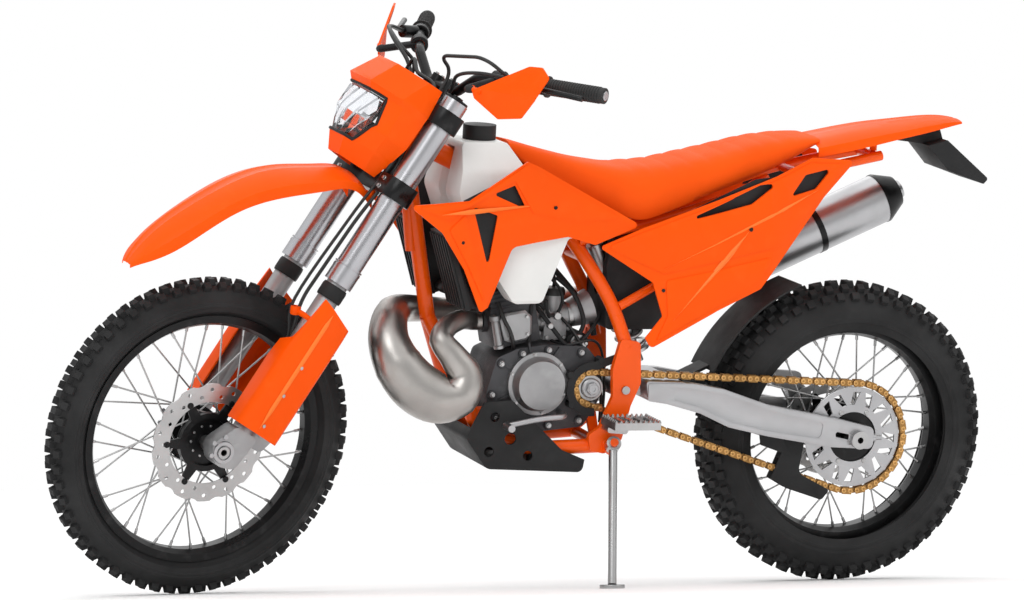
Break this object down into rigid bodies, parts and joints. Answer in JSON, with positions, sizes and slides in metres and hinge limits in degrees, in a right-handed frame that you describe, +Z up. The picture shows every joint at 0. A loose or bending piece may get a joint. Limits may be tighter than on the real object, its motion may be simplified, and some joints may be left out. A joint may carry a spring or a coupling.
{
  "type": "enduro motorcycle",
  "caption": "Single-cylinder two-stroke enduro motorcycle leaning on its side stand, with wire wheels, long-travel fork, swingarm, chain drive, hand guards and headlight mask.",
  "frame": {"origin": "bottom centre of the whole parked bike's box, on the floor", "axes": "+X forward along the bike, +Y to its left, the side it leans to, +Z up"},
  "size_m": [2.178, 0.7926, 1.2871],
  "materials": {
    "frame_paint": "satin orange paint",
    "black_plastic": "matt black moulded plastic",
    "engine_alloy": "dark cast alloy",
    "cover_alloy": "cast light alloy",
    "carb_alloy": "cast alloy",
    "pipe_steel": "raw rolled steel",
    "silencer_alloy": "brushed can",
    "radiator_alloy": "dull alloy",
    "white_plastic": "natural white plastic",
    "orange_plastic": "satin orange moulded plastic",
    "seat_cover": "orange gripper cover",
    "swingarm_alloy": "satin alloy",
    "bolt_steel": "plated steel",
    "chain_gold": "gold plated steel",
    "shock_steel": "painted spring",
    "black_alloy": "black anodised",
    "fork_alloy": "brushed tube",
    "lamp_glass": "clear lens",
    "grip_rubber": "moulded rubber",
    "tyre_rubber": "black rubber",
    "spoke_steel": "stainless wire",
    "disc_steel": "ground steel",
    "sprocket_alloy": "silver anodised",
    "hose_rubber": "black rubber"
  },
  "bodies": {
    "chassis": {"main_frame": "frame_paint", "subframe": "frame_paint", "skid_plate": "black_plastic", "crankcase": "engine_alloy", "engine_covers": "cover_alloy", "cylinder": "engine_alloy", "carburettor": "carb_alloy", "air_box": "black_plastic", "expansion_chamber": "pipe_steel", "silencer": "silencer_alloy", "radiators": "radiator_alloy", "radiator_guards": "black_plastic", "fuel_tank": "white_plastic", "tank_cap": "black_plastic", "shrouds": "orange_plastic", "seat": "seat_cover", "side_panels": "orange_plastic", "rear_fender": "orange_plastic", "plate_holder": "black_plastic", "inner_mudguard": "black_plastic", "swingarm": "swingarm_alloy", "pivot_bolt": "bolt_steel", "rear_axle": "bolt_steel", "chain": "chain_gold", "front_sprocket": "bolt_steel", "chain_guide": "black_plastic", "shock_absorber": "shock_steel", "rear_caliper": "carb_alloy", "footpegs": "bolt_steel", "foot_levers": "swingarm_alloy", "coolant_hoses": "hose_rubber"},
    "steering": {"triple_clamps": "black_alloy", "fork_tubes": "fork_alloy", "fork_lowers": "fork_alloy", "fork_guards": "orange_plastic", "front_fender": "orange_plastic", "headlight_mask": "orange_plastic", "headlamp": "lamp_glass", "handlebar": "black_alloy", "grips": "grip_rubber", "bar_controls": "black_plastic", "hand_guards": "orange_plastic", "front_axle": "bolt_steel", "front_caliper": "carb_alloy", "cables": "hose_rubber"},
    "front_wheel": {"front_tyre": "tyre_rubber", "front_rim": "black_alloy", "front_hub": "black_alloy", "front_spokes": "spoke_steel", "front_disc": "disc_steel"},
    "rear_wheel": {"rear_tyre": "tyre_rubber", "rear_rim": "black_alloy", "rear_hub": "black_alloy", "rear_spokes": "spoke_steel", "rear_disc": "disc_steel", "rear_sprocket": "sprocket_alloy"},
    "side_stand": {"side_stand": "bolt_steel"}
  },
  "joints": [
    {"name": "steering_turn", "type": "hinge", "parent": "chassis", "child": "steering", "pos_m": [0.33897, -0.03588, 0.8897], "axis": [-0.5299, 0.1618, 0.8325], "range_deg": [-52, 32]},
    {"name": "front_wheel_spin", "type": "hinge", "parent": "steering", "child": "front_wheel", "pos_m": [0.74261, -0.13498, 0.338], "axis": [-0.1473, 0.9492, -0.2782], "continuous": true},
    {"name": "rear_wheel_spin", "type": "hinge", "parent": "chassis", "child": "rear_wheel", "pos_m": [-0.75103, -0.14369, 0.33508], "axis": [0, 0.9816, -0.1908], "continuous": true},
    {"name": "side_stand_fold", "type": "hinge", "parent": "chassis", "child": "side_stand", "pos_m": [-0.16103, -0.01253, 0.30754], "axis": [0.1322, 0.9249, 0.3564], "range_deg": [0, 100.9]}
  ]
}
